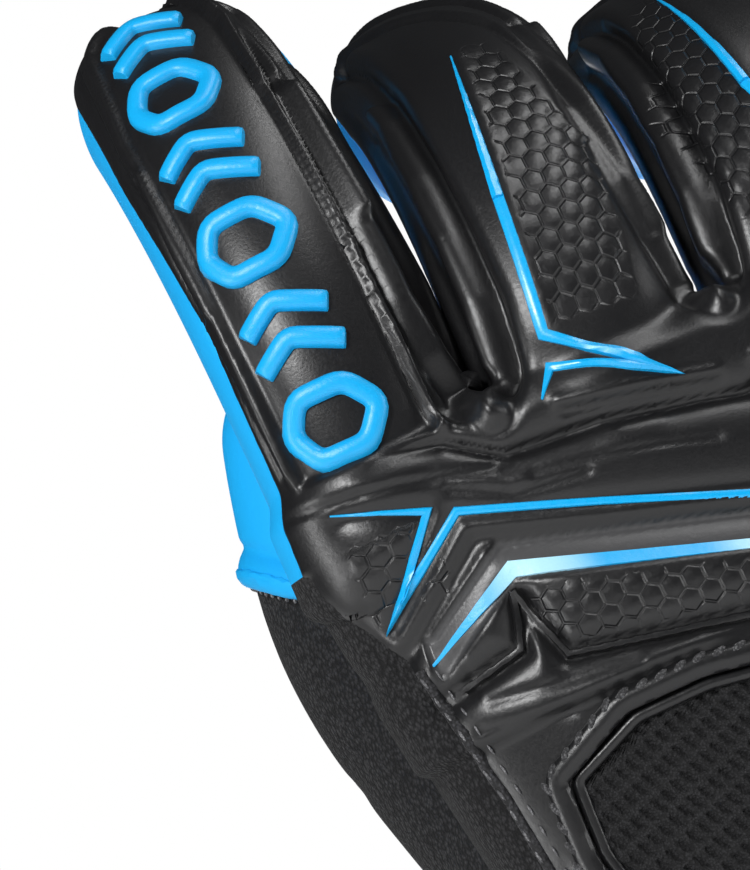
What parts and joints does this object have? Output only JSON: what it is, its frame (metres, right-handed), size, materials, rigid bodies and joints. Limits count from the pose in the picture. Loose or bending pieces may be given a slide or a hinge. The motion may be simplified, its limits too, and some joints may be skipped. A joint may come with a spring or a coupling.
{
  "type": "goalkeeper glove",
  "caption": "Right-hand goalkeeper glove with a moulded black back, blue latex palm and fingers, jointed pre-curved fingers and thumb, mesh window and closing wrist strap.",
  "frame": {"origin": "middle of the cuff mouth, in the plane of the cuff rim", "axes": "+Z from the cuff to the fingertips, -Y out of the back of the hand, +Y out of the palm, thumb at -X, little finger at +X"},
  "size_m": [0.1239, 0.0865, 0.2494],
  "materials": {
    "backhand_foam": "moulded black foam with a fine leather grain, satin",
    "palm_latex": "matt soft latex foam",
    "knit": "fine ribbed knit, matt",
    "airmesh": "ribbed open mesh, matt",
    "lining": "brushed tricot",
    "binding": "corded piping with stitches",
    "inlay": "glossy moulded ink, bevelled edges",
    "puffy_motif": "puffy printed rubber, satin",
    "spine": "moulded nylon",
    "bandage": "elastic ribbed webbing",
    "strap": "latex-faced strap, matt",
    "hook_loop": "hook and loop tape",
    "badge": "moulded rubber badge, satin"
  },
  "bodies": {
    "hand": {"backhand_panel": "backhand_foam", "backhand_lining": "lining", "mesh_panel": "airmesh", "mesh_binding": "binding", "palm_latex": "palm_latex", "palm_lining": "lining", "thumb_side_gusset": "knit", "outer_side_gusset": "knit", "thumb_root_gusset": "knit", "thumb_side_seam": "binding", "web_gussets": "knit", "star_inlay": "inlay", "knuckle_band": "inlay", "wrist_bandage": "bandage", "cuff_binding": "binding", "loop_pad": "hook_loop", "strap_root_tab": "strap", "pull_tab": "bandage"},
    "index_lower": {"index_back_lower": "backhand_foam", "index_latex_lower": "palm_latex", "index_spine_lower": "spine", "index_motifs_lower": "puffy_motif"},
    "index_upper": {"index_back_upper": "backhand_foam", "index_latex_upper": "palm_latex", "index_spine_upper": "spine", "index_motifs_upper": "puffy_motif"},
    "middle_lower": {"middle_back_lower": "backhand_foam", "middle_latex_lower": "palm_latex", "middle_spine_lower": "spine", "middle_inlay_lower": "inlay"},
    "middle_upper": {"middle_back_upper": "backhand_foam", "middle_latex_upper": "palm_latex", "middle_spine_upper": "spine", "middle_inlay_upper": "inlay"},
    "ring_lower": {"ring_back_lower": "backhand_foam", "ring_latex_lower": "palm_latex", "ring_spine_lower": "spine", "ring_inlay_lower": "inlay"},
    "ring_upper": {"ring_back_upper": "backhand_foam", "ring_latex_upper": "palm_latex", "ring_spine_upper": "spine", "ring_inlay_upper": "inlay"},
    "little_lower": {"little_back_lower": "backhand_foam", "little_latex_lower": "palm_latex", "little_spine_lower": "spine"},
    "little_upper": {"little_back_upper": "backhand_foam", "little_latex_upper": "palm_latex", "little_spine_upper": "spine"},
    "thumb_lower": {"thumb_back_lower": "knit", "thumb_latex_lower": "palm_latex"},
    "thumb_upper": {"thumb_cap": "palm_latex", "thumb_hem": "palm_latex"},
    "strap": {"wrist_strap": "strap", "hook_pad": "hook_loop", "strap_badge": "badge"}
  },
  "joints": [
    {"name": "index_knuckle", "type": "hinge", "parent": "hand", "child": "index_lower", "pos_m": [-0.044, 0, 0.178], "axis": [-0.9998, 0, 0.0174], "range_deg": [-10, 20], "stiffness_Nm_per_rad": 0.2},
    {"name": "index_middle_joint", "type": "hinge", "parent": "index_lower", "child": "index_upper", "pos_m": [-0.04336, 0.00767, 0.21472], "axis": [-0.9998, 0, 0.0174], "range_deg": [-25, 35], "stiffness_Nm_per_rad": 0.08},
    {"name": "middle_knuckle", "type": "hinge", "parent": "hand", "child": "middle_lower", "pos_m": [-0.0135, -0.002, 0.179], "axis": [-0.9962, 0, 0.0872], "range_deg": [-10, 20], "stiffness_Nm_per_rad": 0.2},
    {"name": "middle_middle_joint", "type": "hinge", "parent": "middle_lower", "child": "middle_upper", "pos_m": [-0.01051, 0.0166, 0.21313], "axis": [-0.9962, 0, 0.0872], "range_deg": [-25, 35], "stiffness_Nm_per_rad": 0.08},
    {"name": "ring_knuckle", "type": "hinge", "parent": "hand", "child": "ring_lower", "pos_m": [0.017, -0.001, 0.18], "axis": [-0.9925, 0, 0.1219], "range_deg": [-10, 20], "stiffness_Nm_per_rad": 0.2},
    {"name": "ring_middle_joint", "type": "hinge", "parent": "ring_lower", "child": "ring_upper", "pos_m": [0.02057, 0.02149, 0.20909], "axis": [-0.9925, 0, 0.1219], "range_deg": [-25, 35], "stiffness_Nm_per_rad": 0.08},
    {"name": "little_knuckle", "type": "hinge", "parent": "hand", "child": "little_lower", "pos_m": [0.0455, 0.002, 0.174], "axis": [-0.9816, 0, 0.1908], "range_deg": [-10, 20], "stiffness_Nm_per_rad": 0.2},
    {"name": "little_middle_joint", "type": "hinge", "parent": "little_lower", "child": "little_upper", "pos_m": [0.05023, 0.01945, 0.19832], "axis": [-0.9816, 0, 0.1908], "range_deg": [-25, 35], "stiffness_Nm_per_rad": 0.08},
    {"name": "thumb_base", "type": "hinge", "parent": "hand", "child": "thumb_lower", "pos_m": [-0.03627, 0.0321, 0.12556], "axis": [0, -0.941, 0.3384], "range_deg": [-5, 25], "stiffness_Nm_per_rad": 0.2},
    {"name": "thumb_tip", "type": "hinge", "parent": "thumb_lower", "child": "thumb_upper", "pos_m": [-0.04425, 0.04053, 0.15872], "axis": [0.5867, -0.7823, 0.2094], "range_deg": [-30, 12], "stiffness_Nm_per_rad": 0.08},
    {"name": "strap_open", "type": "hinge", "parent": "hand", "child": "strap", "pos_m": [-0.04214, 0.01023, 0.047], "axis": [0, 0, -1], "range_deg": [0, 100]}
  ]
}
